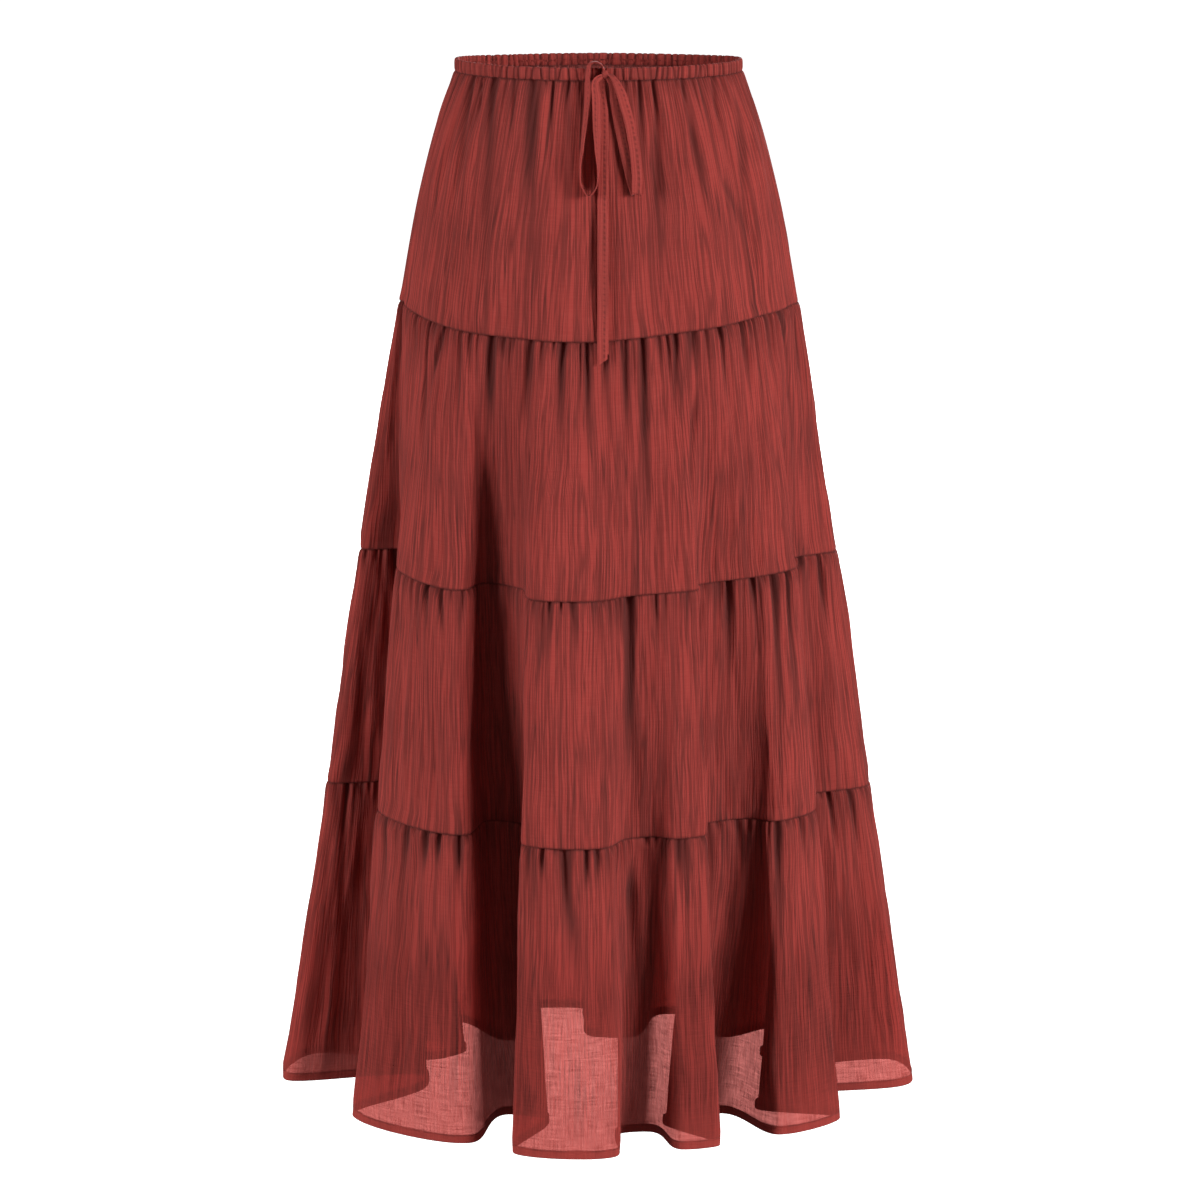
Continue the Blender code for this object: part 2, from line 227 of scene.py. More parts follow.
# How much wider a trough is at its foot, and the share of its length over which one that starts
# below the seam deepens.
TROUGH_WIDENING = 0.8
TROUGH_RAMP = 0.25


def trough(across, down, place, start, length, half_width, depth, slant):
    """One soft trough: deepest near its start, fading out and widening downwards."""
    along = np.clip((down - start) / length, 0, 1)
    wide = half_width * (1 + TROUGH_WIDENING * along)
    fade = np.where((down < start) | (along >= 1), 0, (1 - along) ** 1.2)
    if start > 0.001:
        fade = fade * np.clip((down - start) / (TROUGH_RAMP * length), 0, 1)
    offset = (across - place - slant * (down - start)) / wide
    return -depth * fade * np.exp(-(offset**2))


Gather = namedtuple("Gather", "spacing length half_width depth slant")


def gathers(across, down, kind, seed):
    """The small gathers under a seam: narrow troughs, uneven in place, length, width and depth."""
    rng = np.random.default_rng(seed)
    relief = np.zeros_like(across)
    columns = across[0]
    place = columns[0]
    while place < columns[-1]:
        place += kind.spacing * rng.uniform(0.45, 1.7)
        length = kind.length * (0.15 + 1.1 * rng.random() ** 2.2)
        half_width = kind.half_width * rng.uniform(0.75, 1.5)
        depth = kind.depth * rng.uniform(0.35, 1.0)
        slant = kind.slant * rng.uniform(-1, 1)
        reach = 6 * half_width + abs(slant) * length
        near = slice(*np.searchsorted(columns, (place - reach, place + reach)))
        relief[:, near] += trough(
            across[:, near], down[:, near], place, 0.0005, length, half_width, depth, slant
        )
    return relief


# Main creases of the front. Their ends were marked by eye, put on the cloth by a separate script and
# rounded. along is the share of the front panel's width from its left side seam, start and length are
# down from the seam above, and slant is how far it moves sideways as it runs down.
Crease = namedtuple("Crease", "tier along start length half_width depth slant")
CREASES = (
    Crease(1, 0.15, 0.00, 0.13, 0.0045, 0.0030, 0.30),
    Crease(1, 0.19, 0.00, 0.04, 0.0020, 0.0035, 0.40),
    Crease(1, 0.24, 0.00, 0.19, 0.0060, 0.0042, 0.18),
    Crease(1, 0.29, 0.00, 0.06, 0.0024, 0.0025, 0.25),
    Crease(1, 0.34, 0.00, 0.16, 0.0080, 0.0050, 0.14),
    Crease(1, 0.39, 0.00, 0.05, 0.0024, 0.0030, 0.14),
    Crease(1, 0.43, 0.00, 0.09, 0.0034, 0.0028, 0.08),
    Crease(1, 0.62, 0.00, 0.07, 0.0026, 0.0035, -0.12),
    Crease(1, 0.66, 0.00, 0.06, 0.0024, 0.0038, -0.14),
    Crease(1, 0.65, 0.02, 0.19, 0.0070, 0.0038, -0.08),
    Crease(1, 0.73, 0.02, 0.10, 0.0042, 0.0040, 0.04),
    Crease(1, 0.74, 0.00, 0.03, 0.0024, 0.0035, -0.30),
    Crease(1, 0.79, 0.08, 0.06, 0.0044, 0.0032, 0.50),
    Crease(1, 0.83, 0.00, 0.06, 0.0026, 0.0030, -0.30),
    Crease(1, 0.89, 0.01, 0.17, 0.0052, 0.0032, -0.28),
    Crease(2, 0.03, 0.00, 0.09, 0.0042, 0.0045, 0.10),
    Crease(2, 0.13, 0.00, 0.04, 0.0026, 0.0045, 0.20),
    Crease(2, 0.175, 0.00, 0.14, 0.0028, 0.0055, 0.12),
    Crease(2, 0.225, 0.00, 0.08, 0.0028, 0.0050, -0.28),
    Crease(2, 0.27, 0.00, 0.11, 0.0018, 0.0035, 0.02),
    Crease(2, 0.33, 0.00, 0.11, 0.0044, 0.0070, 0.02),
    Crease(2, 0.40, 0.00, 0.09, 0.0032, 0.0055, -0.08),
    Crease(2, 0.41, 0.09, 0.06, 0.0024, 0.0030, 0.04),
    Crease(2, 0.463, 0.00, 0.09, 0.0048, 0.0070, 0.02),
    Crease(2, 0.51, 0.00, 0.10, 0.0044, 0.0040, 0.04),
    Crease(2, 0.54, 0.00, 0.07, 0.0024, 0.0045, -0.05),
    Crease(2, 0.573, 0.00, 0.11, 0.0028, 0.0050, -0.04),
    Crease(2, 0.60, 0.00, 0.20, 0.0044, 0.0065, -0.04),
    Crease(2, 0.66, 0.00, 0.08, 0.0028, 0.0050, -0.15),
    Crease(2, 0.685, 0.00, 0.04, 0.0024, 0.0040, -0.12),
    Crease(2, 0.69, 0.04, 0.13, 0.0036, 0.0038, -0.22),
    Crease(2, 0.74, 0.00, 0.09, 0.0028, 0.0048, 0.00),
    Crease(2, 0.785, 0.00, 0.07, 0.0028, 0.0052, 0.07),
    Crease(2, 0.85, 0.00, 0.06, 0.0028, 0.0045, 0.03),
    Crease(2, 0.89, 0.00, 0.14, 0.0044, 0.0050, 0.25),
    Crease(2, 0.95, 0.00, 0.10, 0.0036, 0.0045, 0.10),
    Crease(3, 0.05, 0.00, 0.05, 0.0030, 0.0045, 0.10),
    Crease(3, 0.18, 0.00, 0.07, 0.0028, 0.0050, 0.20),
    Crease(3, 0.245, 0.00, 0.04, 0.0028, 0.0050, 0.20),
    Crease(3, 0.27, 0.00, 0.05, 0.0026, 0.0050, 0.14),
    Crease(3, 0.30, 0.00, 0.05, 0.0028, 0.0040, -0.07),
    Crease(3, 0.45, 0.00, 0.06, 0.0028, 0.0050, 0.06),
    Crease(3, 0.483, 0.00, 0.04, 0.0028, 0.0035, 0.00),
    Crease(3, 0.51, 0.00, 0.05, 0.0028, 0.0035, 0.06),
    Crease(3, 0.58, 0.00, 0.20, 0.0054, 0.0075, -0.01),
    Crease(3, 0.61, 0.00, 0.06, 0.0028, 0.0045, -0.02),
    Crease(3, 0.70, 0.01, 0.17, 0.0054, 0.0060, -0.30),
    Crease(3, 0.735, 0.00, 0.11, 0.0036, 0.0055, 0.00),
    Crease(3, 0.765, 0.00, 0.08, 0.0028, 0.0045, 0.03),
    Crease(3, 0.795, 0.00, 0.18, 0.0038, 0.0060, -0.02),
    Crease(3, 0.817, 0.00, 0.16, 0.0038, 0.0055, -0.02),
    Crease(3, 0.93, 0.00, 0.08, 0.0030, 0.0045, -0.30),
    Crease(3, 0.965, 0.00, 0.09, 0.0030, 0.0050, 0.02),
    Crease(4, 0.02, 0.00, 0.07, 0.0030, 0.0050, 0.04),
    Crease(4, 0.20, 0.00, 0.09, 0.0044, 0.0050, 0.04),
    Crease(4, 0.23, 0.00, 0.08, 0.0038, 0.0045, -0.05),
    Crease(4, 0.254, 0.00, 0.04, 0.0028, 0.0050, -0.11),
    Crease(4, 0.267, 0.00, 0.03, 0.0026, 0.0050, -0.07),
    Crease(4, 0.285, 0.00, 0.035, 0.0046, 0.0060, 0.00),
    Crease(4, 0.33, 0.00, 0.06, 0.0030, 0.0045, -0.20),
    Crease(4, 0.455, 0.00, 0.04, 0.0028, 0.0045, 0.00),
    Crease(4, 0.467, 0.00, 0.03, 0.0028, 0.0050, 0.05),
    Crease(4, 0.484, 0.00, 0.13, 0.0056, 0.0070, 0.11),
    Crease(4, 0.503, 0.00, 0.04, 0.0028, 0.0050, -0.03),
    Crease(4, 0.511, 0.00, 0.04, 0.0026, 0.0050, -0.08),
    Crease(4, 0.54, 0.00, 0.06, 0.0036, 0.0045, 0.06),
    Crease(4, 0.564, 0.01, 0.15, 0.0046, 0.0055, -0.01),
    Crease(4, 0.597, 0.00, 0.06, 0.0028, 0.0045, 0.00),
    Crease(4, 0.614, 0.00, 0.05, 0.0028, 0.0045, -0.02),
    Crease(4, 0.727, 0.00, 0.06, 0.0028, 0.0045, 0.05),
    Crease(4, 0.75, 0.00, 0.06, 0.0028, 0.0045, 0.25),
    Crease(4, 0.78, 0.00, 0.13, 0.0046, 0.0055, -0.01),
    Crease(4, 0.805, 0.00, 0.05, 0.0028, 0.0050, 0.13),
    Crease(4, 0.95, 0.00, 0.07, 0.0030, 0.0050, 0.12),
    Crease(4, 0.973, 0.00, 0.07, 0.0030, 0.0050, 0.08),
)


# The back's creases: how far the turned front's are shifted, and how close together they are.
BACK_SHIFT = 1.37
BACK_SHARE = 0.93


def main_creases(across, down, tier, panel_width, is_front):
    """The main creases. The back has the front's, turned round and shifted along."""
    relief = np.zeros_like(across)
    left = across[0, 0]
    for crease in CREASES:
        if crease.tier != tier:
            continue
        along = crease.along if is_front else (BACK_SHIFT - crease.along * BACK_SHARE) % 1.0
        slant = crease.slant if is_front else -crease.slant
        relief += trough(
            across, down, left + along * panel_width, crease.start, crease.length,
            crease.half_width, crease.depth, slant,
        )
    return relief


# ---------------------------------------------------------------- meshes
def grid_object(name, grid, uv_maps, material, closed=False):
    """A sheet of quads through a grid of points (rows, columns, xyz), with its UV maps."""
    rows, columns = grid.shape[:2]
    index = np.arange(rows * columns).reshape(rows, columns)
    if closed:
        index = np.vstack([index, index[:1]])
    corner = (index[:-1, :-1], index[:-1, 1:], index[1:, 1:], index[1:, :-1])
    faces = np.stack([c.ravel() for c in corner], axis=1)
    mesh = bpy.data.meshes.new(name)
    mesh.vertices.add(rows * columns)
    mesh.vertices.foreach_set("co", grid.reshape(-1).astype(np.float32))
    mesh.loops.add(faces.size)
    mesh.loops.foreach_set("vertex_index", faces.ravel().astype(np.int32))
    mesh.polygons.add(len(faces))
    mesh.polygons.foreach_set("loop_start", np.arange(0, faces.size, 4, dtype=np.int32))
    mesh.update(calc_edges=True)
    mesh.validate()
    for uv_name, uv in uv_maps.items():
        layer = mesh.uv_layers.new(name=uv_name)
        flat = uv.reshape(-1, 2)
        layer.data.foreach_set("uv", flat[faces.ravel()].ravel().astype(np.float32))
    mesh.shade_smooth()
    mesh.materials.append(material)
    made = bpy.data.objects.new(name, mesh)
    bpy.context.scene.collection.objects.link(made)
    return made


def place_piece(piece, slot, *nodes):
    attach(piece, "root")
    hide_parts(*nodes)
    return piece


# ---------------------------------------------------------------- materials
class Nodes:
    """Short ways to add nodes to a material and join them."""

    def __init__(self, name):
        self.material = bpy.data.materials.new(name)
        self.material.use_nodes = True
        self.tree = self.material.node_tree
        self.tree.nodes.clear()

    def add(self, kind, links=(), **values):
        node = self.tree.nodes.new(kind)
        for key, value in values.items():
            if hasattr(node, key):
                setattr(node, key, value)
            else:
                node.inputs[key.replace("_", " ")].default_value = value
        for socket, source in dict(links).items():
            self.tree.links.new(source, node.inputs[socket])
        return node

    def math(self, operation, a, b=None, clamp=False):
        node = self.tree.nodes.new("ShaderNodeMath")
        node.operation = operation
        node.use_clamp = clamp
        for i, value in enumerate((a, b)):
            if value is None:
                continue
            if isinstance(value, (int, float)):
                node.inputs[i].default_value = value
            else:
                self.tree.links.new(value, node.inputs[i])
        return node.outputs[0]

    def noise(self, across, down, scale, detail=1.0, distortion=0.0):
        """Noise over the cloth with scale cells a metre across and down."""
        vector = self.add("ShaderNodeCombineXYZ")
        self.tree.links.new(self.math("MULTIPLY", across, scale[0]), vector.inputs[0])
        self.tree.links.new(self.math("MULTIPLY", down, scale[1]), vector.inputs[1])
        noise = self.add("ShaderNodeTexNoise", {"Vector": vector.outputs[0]})
        noise.inputs["Scale"].default_value = 1.0
        noise.inputs["Detail"].default_value = detail
        noise.inputs["Distortion"].default_value = distortion
        return noise.outputs["Fac"]

    def lines(self, field, half_width):
        """Thin lines where a field crosses its middle value: 1 on the line, 0 off it."""
        off = self.math("ABSOLUTE", self.math("SUBTRACT", field, 0.5))
        return self.math("SUBTRACT", 1.0, self.math("DIVIDE", off, half_width), clamp=True)

    def blend(self, factor, first, second):
        node = self.tree.nodes.new("ShaderNodeMix")
        node.data_type = "RGBA"
        for socket, value in ((0, factor), (6, first), (7, second)):
            if hasattr(value, "is_linked"):
                self.tree.links.new(value, node.inputs[socket])
            else:
                node.inputs[socket].default_value = value
        return node.outputs[2]


CLOTH_RED = (0.330, 0.0415, 0.0340, 1.0)
TIE_RED = (0.345, 0.047, 0.039, 1.0)
# Painted shade colour: crinkle lines, hollows, seam grooves, fold floors, casing grooves and knot wraps
# are darkened towards it. Broad random patches take a little of it as darker tone, and the tie's stitch
# lines use it too.
DARK_TONE_AND_SHADE_RED = (0.070, 0.017, 0.015, 1.0)
SLUB_RED = (0.415, 0.064, 0.053, 1.0)
BEHIND_RED = (0.26, 0.048, 0.040, 1.0)
SEE_THROUGH_RED = (0.75, 0.220, 0.200, 1.0)

# How far down a tier's cut the crinkles have faded out, which only the bottom tier comes near, and
# the length that they fade over.
FLAT_BELOW = 0.315
FLAT_FADE = 0.08
# The crinkles' sideways wander and their relief and the slubs', in metres.
CRINKLE_WANDER = 0.007
CRINKLE_RELIEF = 0.00042
SLUB_RELIEF = 0.00022


def gauze(name, openness, crinkle=1.0, colour=CLOTH_RED, seamed=False):
    """Sheer crinkled gauze: fine uneven crinkles down the cloth, slubs both ways, thread relief.

    A seamed sheet has painted shade in its hollows and along its seams, and is close at its turned-up
    hem.
    """
    n = Nodes(name)
    uv = n.add("ShaderNodeUVMap", uv_map="cloth")
    split = n.add("ShaderNodeSeparateXYZ", {"Vector": uv.outputs[0]})
    across, down = split.outputs[0], split.outputs[1]
    wander = n.noise(across, down, (12.0, 11.0), 2.0)
    bent = n.math("ADD", across, n.math("MULTIPLY", n.math("SUBTRACT", wander, 0.5), CRINKLE_WANDER))
    coarse = n.lines(n.noise(bent, down, (170.0, 4.0), 1.0), 0.055)
    fine = n.lines(n.noise(bent, down, (320.0, 7.0), 1.0), 0.080)
    patchy = n.noise(across, down, (34.0, 13.0), 1.0)
    patchy = n.math("MULTIPLY", n.math("SUBTRACT", patchy, 0.05), 1.7, clamp=True)
    coarse = n.math("MULTIPLY", coarse, n.math("MULTIPLY", patchy, crinkle))
    fine = n.math("MULTIPLY", fine, 0.72 * crinkle)
    creases = n.math("MAXIMUM", coarse, fine)
    if seamed:
        # The last of the bottom tier hangs flat, with few crinkles.
        flat = n.math("DIVIDE", n.math("SUBTRACT", FLAT_BELOW, down), FLAT_FADE, clamp=True)
        creases = n.math("MULTIPLY", creases, flat)
    warp = n.noise(across, down, (800.0, 50.0), 2.0)
    weft = n.noise(across, down, (45.0, 700.0), 2.0)
    slubs = n.math("MULTIPLY", n.math("ADD", warp, weft), 0.5)
    broad = n.noise(across, down, (9.0, 4.0), 2.0)

    slubby = n.math("MULTIPLY", n.math("SUBTRACT", slubs, 0.40), 2.6, clamp=True)
    tone = n.blend(slubby, colour, SLUB_RED)
    tone = n.blend(n.math("MULTIPLY", broad, 0.10), tone, DARK_TONE_AND_SHADE_RED)
    # Painted shade: the crinkle lines are darkened as if their troughs lay in shade.
    tone = n.blend(n.math("MULTIPLY", creases, 0.88), tone, DARK_TONE_AND_SHADE_RED)
    gaps = n.math("MULTIPLY", n.math("SUBTRACT", slubs, 0.5), 4.0)
    gaps = n.math("MULTIPLY", n.math("ADD", gaps, 1.0), openness, clamp=True)
    if seamed:
        relief = n.add("ShaderNodeUVMap", uv_map="relief")
        relief = n.add("ShaderNodeSeparateXYZ", {"Vector": relief.outputs[0]})
        # Painted shade from the relief map's first channel: hollows, seam grooves, fold floors, casing
        # grooves and knot wraps. The tie's stitch lines darken through it too.
        tone = n.blend(n.math("MULTIPLY", relief.outputs[0], 0.85, clamp=True), tone, DARK_TONE_AND_SHADE_RED)
        gaps = n.math("MULTIPLY", gaps, n.math("SUBTRACT", 1.0, relief.outputs[1], clamp=True))

    height = n.math("MULTIPLY", n.math("SUBTRACT", 1.0, creases), CRINKLE_RELIEF)
    height = n.math("ADD", height, n.math("MULTIPLY", slubs, SLUB_RELIEF))
    bump = n.add("ShaderNodeBump", {"Height": height}, Strength=0.8, Distance=1.0)
    rough = n.math("ADD", 0.78, n.math("MULTIPLY", slubs, 0.2))
    front = n.add(
        "ShaderNodeBsdfPrincipled",
        {"Base Color": tone, "Roughness": rough, "Normal": bump.outputs[0]},
    )
    front.inputs["Sheen Weight"].default_value = 0.03
    front.inputs["Sheen Roughness"].default_value = 0.5
    front.inputs["Specular IOR Level"].default_value = 0.10
    behind = n.add("ShaderNodeBsdfTranslucent", {"Normal": bump.outputs[0]}, Color=BEHIND_RED)
    cloth = n.add("ShaderNodeMixShader", {1: front.outputs[0], 2: behind.outputs[0]}, Fac=0.08)
    through = n.add("ShaderNodeBsdfTransparent", Color=SEE_THROUGH_RED)
    sheer = n.add("ShaderNodeMixShader", {0: gaps, 1: cloth.outputs[0], 2: through.outputs[0]})
    n.add("ShaderNodeOutputMaterial", {"Surface": sheer.outputs[0]})
    return n.material


def floor_material():
    n = Nodes("pale_floor")
    where = n.add("ShaderNodeTexCoord")
    mottle = n.add("ShaderNodeTexNoise", {"Vector": where.outputs["Object"]}, Scale=1.5)
    tone = n.blend(mottle.outputs["Fac"], (0.80, 0.80, 0.80, 1), (0.84, 0.84, 0.84, 1))
    shader = n.add("ShaderNodeBsdfPrincipled", {"Base Color": tone}, Roughness=0.9)
    shader.inputs["Emission Color"].default_value = (1, 1, 1, 1)
    shader.inputs["Emission Strength"].default_value = 0.97
    n.add("ShaderNodeOutputMaterial", {"Surface": shader.outputs[0]})
    return n.material


# ---------------------------------------------------------------- the tiers
# cut_width is the whole tier's cut all round, cut_length its cut down, and columns and rows are the
# sheet's points for each of its two panels.
Tier = namedtuple("Tier", "number top bottom cut_width cut_length columns rows")
LEVELS = (CASING_HEIGHT,) + SEAM_DROPS + (HEM_DROP,)
TIERS = (
    Tier(1, LEVELS[0], LEVELS[1], 1.02, 0.230, 330, 66),
    Tier(2, LEVELS[1], LEVELS[2], 1.46, 0.245, 440, 66),
    Tier(3, LEVELS[2], LEVELS[3], 2.04, 0.235, 560, 62),
    Tier(4, LEVELS[3], LEVELS[4], 3.00, 0.300, 760, 76),
)
GATHERS = {
    1: Gather(0.0072, 0.075, 0.0018, 0.0032, 0.02),
    2: Gather(0.0105, 0.080, 0.0024, 0.0042, 0.03),
    3: Gather(0.0110, 0.060, 0.0024, 0.0040, 0.03),
    4: Gather(0.0110, 0.055, 0.0026, 0.0040, 0.03),
}
HEM_FOLD = 0.0070
# How far a seam's line of painted shade reaches, how much closer rows lie by a seam, how far a sheet
# runs up behind the tier above, and the depth at which a hollow's painted shade is at its darkest.
SEAM_SHADE = 0.0011
ROW_CROWDING = 0.125
SEAM_ALLOWANCE = 0.0055
DARK_HOLLOW = 0.0036
# Uneven swells of the cloth: depth, and grain across and down. Only the last reaches the seam above.
SWELLS = ((0.0024, (0.030, 0.16)), (0.0014, (0.012, 0.07)))
FINE_SWELL = (0.0007, (0.0055, 0.030))
SWELL_START = 0.05
# How far in from a panel's sides and lower edge its relief fades out.
EDGE_FADE = 0.012
# The bulge of a gathered tier below its seam: its height and how far down it is fullest.
SEAM_BULGE = 0.0009
BULGE_DROP = 0.008
# How deep the cloth is drawn in at a seam, and how far from the seam that reaches.
SEAM_TUCK = 0.0012
TUCK_REACH = 0.0012
# How high above the hem the gauze starts to look closer, and the height that it closes over.
CLOSES_ABOVE = 0.13
CLOSES_OVER = 0.08
# How dark the painted shade on the floor of a deep fold is, and the depth that counts as deep, as a
# share of the oval.
FOLD_SHADE = 0.28
DEEP_FOLD = 0.18
# How much less open the gauze looks where its gathers lie close together, up the skirt.
LAYERED = 0.80
PANELS = {"front": (LEFT_SEAM, RIGHT_SEAM), "back": (RIGHT_SEAM, LEFT_SEAM + WHOLE_RING)}


def even_columns(tier, stretch, count):
    """The t of evenly cut columns, their places across the cut, and the panel's share of the ring."""
    fine_t = np.linspace(stretch[0], stretch[1], 4001)
    shares = []
    for drop in (tier.top, tier.bottom):
        whole, _ = ring(drop, np.linspace(0, WHOLE_RING, 8001))
        total = np.linalg.norm(np.diff(whole, axis=0), axis=1).sum()
        points, _ = ring(drop, fine_t)
        steps = np.linalg.norm(np.diff(points, axis=0), axis=1)
        shares.append(np.concatenate([[0], np.cumsum(steps)]) / total)
    share = (shares[0] + shares[1]) / 2
    even = np.linspace(0, share[-1], count)
    return np.interp(even, share, fine_t), even * tier.cut_width, share[-1]


def fold_floors(drops, t):
    """How far each place lies down in a fold, from 0 on a crest to 1 on a deep floor.

    The first answer counts only the way down to the floor, where the layers lie close together.
    """
    fold = np.floor(t / POINTS_A_FOLD).astype(int) % len(FOLDS)
    place = t % POINTS_A_FOLD
    falling = np.clip(np.minimum((place - 0.85) / 0.5, (3.2 - place) / 0.4), 0, 1)
    floor = np.clip(np.minimum(place - 1.0, POINTS_A_FOLD - place), 0, 1)
    floor = floor * floor * (3 - 2 * floor)
    deep = np.array([[valley_share(f, drop) * (1 - f.valley_reach) for f in FOLDS] for drop in drops])
    deep = np.clip(deep[:, fold] / DEEP_FOLD, 0, 1)
    return deep * falling, deep * floor


def tier_relief(tier, side, across, down, to_end):
    """A panel's relief, and the painted shade in the hollows of its gathers and creases."""
    seed = 10 * tier.number + (side == "back")
    relief = gathers(across, down, GATHERS[tier.number], seed)
    panel_width = across[0, -1] - across[0, 0]
    relief += main_creases(across, down, tier.number, panel_width, side == "front")
    # Painted shade: the deeper a gather or crease, the darker its hollow is painted.
    hollow = np.clip(-relief / DARK_HOLLOW, 0, 1)
    swell = np.clip(down / SWELL_START, 0, 1)
    for k, (depth, grain) in enumerate(SWELLS):
        relief += depth * swell * soft_noise(across, down, grain, seed + 100 * (k + 1))
    depth, grain = FINE_SWELL
    relief += depth * soft_noise(across, down, grain, seed + 300)
    to_side = np.minimum(across - across[0, 0], across[0, -1] - across)
    relief *= np.clip(to_end / EDGE_FADE, 0.05, 1) * np.clip(to_side / EDGE_FADE, 0, 1)
    below_seam = np.maximum(down, 0)
    puff = below_seam / BULGE_DROP
    relief += SEAM_BULGE * puff * np.exp(1 - puff) * (tier.number > 1)
    relief -= SEAM_TUCK * np.exp(-below_seam / TUCK_REACH) + 0.0009 * np.clip(-down / 0.0028, 0, 1)
    if tier.number < len(TIERS):
        relief += 0.0005 * np.exp(-to_end / 0.005) - SEAM_TUCK * np.exp(-to_end / TUCK_REACH)
    return relief, hollow


def seams_and_closeness(tier, down, to_end):
    """The painted shade of a panel's seam grooves, the dark line of the hem's stitching, and how far
    its gauze is closed.
    """
    seam = np.exp(-((down / SEAM_SHADE) ** 2))
    if tier.number < len(TIERS):
        seam += 0.8 * np.exp(-((to_end / SEAM_SHADE) ** 2))
        return seam, np.full_like(to_end, LAYERED)
    seam += 0.8 * np.exp(-(((to_end - HEM_FOLD) / 0.0006) ** 2))
    close = np.clip((HEM_FOLD + 0.001 - to_end) / 0.0005, 0, 1)
    return seam, np.maximum(close, LAYERED * np.clip((to_end - CLOSES_ABOVE) / CLOSES_OVER, 0, 1))


def tier_panel(tier, side, material):
    """One panel of a tier: its sheet in relief, with painted shade in hollows, seams and fold floors,
    and its cut stated.
    """
    t, across_row, share = even_columns(tier, PANELS[side], tier.columns)
    if side == "back":
        across_row = across_row + tier.cut_width * (1 - share)
    spread = np.linspace(0, 1, tier.rows)
    drops = tier.top + (tier.bottom - tier.top) * (spread - ROW_CROWDING * np.sin(2 * math.pi * spread))
    drops = np.concatenate([tier.top - SEAM_ALLOWANCE * np.array([1.0, 0.5]), drops])
    rings = [ring(drop, t) for drop in drops]
    points = np.array([p for p, _ in rings])
    normals = np.array([n for _, n in rings])
    length = tier.bottom - tier.top
    down_column = drops - tier.top
    across = np.broadcast_to(across_row, points.shape[:2]).copy()
    down = np.broadcast_to(down_column[:, None], points.shape[:2]).copy()
    to_end = length - down

    relief, hollow = tier_relief(tier, side, across, down, to_end)
    seam, close = seams_and_closeness(tier, down, to_end)
    grid = points + normals * relief[..., None]
    uv = np.stack([across, down * tier.cut_length / length], axis=-1)
    falling, floors = fold_floors(drops, t)
    # Painted shade for the relief map: hollows of gathers and creases, seam grooves and the floors of
    # deep folds.
    shade = np.maximum(np.maximum(hollow, seam), FOLD_SHADE * floors)
    shade = np.stack([shade, np.maximum(close, 0.9 * falling)], axis=-1)
    if tier.number == len(TIERS):
        grid, uv, shade = with_hem_fold(grid, normals, uv, shade)
    name = f"tier_{tier.number}_{side}_cloth"
    piece = grid_object(name, grid, {"cloth": uv, "relief": shade}, material)
    place_piece(piece, "cloth", f"tier_{tier.number}_{side}")
    return piece


def with_hem_fold(grid, normals, uv, shade):
    """The hem turned up inside: the sheet rounds its lower edge and runs back up behind itself."""
    last, out = grid[-1], normals[-1]
    rise = np.array([-0.0004, 0.0, 0.0014, 0.0035, 0.0055, HEM_FOLD])
    back = np.array([0.0003, 0.0008, 0.0010, 0.0010, 0.0009, 0.0006])
    extra = np.array([last - out * b + np.array([0, 0, r]) for r, b in zip(rise, back)])
    extra_uv = np.array([uv[-1] + np.array([0, max(r, 0)]) for r in rise])
    extra_shade = np.repeat(shade[-1:], len(rise), axis=0)
    return np.vstack([grid, extra]), np.vstack([uv, extra_uv]), np.vstack([shade, extra_shade])


# ---------------------------------------------------------------- the casing
# How much wider the casing is cut than it lies on the relaxed elastic.
CASING_FULLNESS = 1.3
CASING_COLUMNS = 520
CASING_SECTION = 25
# The folded strip's cut edges nearly meet under the casing: how far round from its front one lies.
FOLD_TURN = 0.47 * math.pi


def casing_panel(side, material):
    """The ruched casing: a strip folded over the elastic, with uneven upright puffs and grooves."""
    start, end = PANELS[side]
    shape = (CASING_SECTION, CASING_COLUMNS)
    t = np.linspace(start, end, CASING_COLUMNS)
    points, normals = ring(CASING_HEIGHT / 2, t)
    along = np.concatenate([[0], np.cumsum(np.linalg.norm(np.diff(points, axis=0), axis=1))])
    rng = np.random.default_rng(5 + (side == "back"))
    grooves = np.zeros(shape)
    turn = np.linspace(-FOLD_TURN, FOLD_TURN + math.pi, CASING_SECTION)[:, None]
    out, up = np.cos(turn), np.sin(turn)
    place = 0.0
    while place < along[-1]:
        place += rng.uniform(0.0034, 0.0082)
        width = rng.uniform(0.0008, 0.0014)
        depth = rng.uniform(0.55, 1.0)
        lean = rng.uniform(-0.0012, 0.0012)
        grooves = np.maximum(grooves, depth * np.exp(-(((along - place - lean * up) / width) ** 2)))
    half_wall, half_height = CASING_WALL / 2, CASING_HEIGHT / 2
    squared_out = np.sign(out) * np.abs(out) ** 0.7
    squared_up = np.sign(up) * np.abs(up) ** 0.6
    puff = 1.35 - 1.1 * grooves
    grid = points + normals * (squared_out * half_wall * puff)[..., None]
    grid[..., 2] += squared_up * (half_height + 0.0003 - 0.0008 * grooves)
    around = np.broadcast_to((turn + FOLD_TURN) * 0.0045, shape)
    across = np.broadcast_to(along * CASING_FULLNESS, shape)
    uv = np.stack([across, around], axis=-1)
    # Painted shade in the casing's grooves, and a painted shadow along its lower edge.
    lower_edge = np.broadcast_to(np.clip((-up - 0.80) * 6, 0, 1), shape)
    shade = np.stack([np.maximum(grooves, lower_edge), np.zeros_like(grooves)], axis=-1)
    name = f"waistband_{side}_cloth"
    piece = grid_object(name, grid, {"cloth": uv, "relief": shade}, material)
    place_piece(piece, "casing", f"waistband_{side}")
    return piece


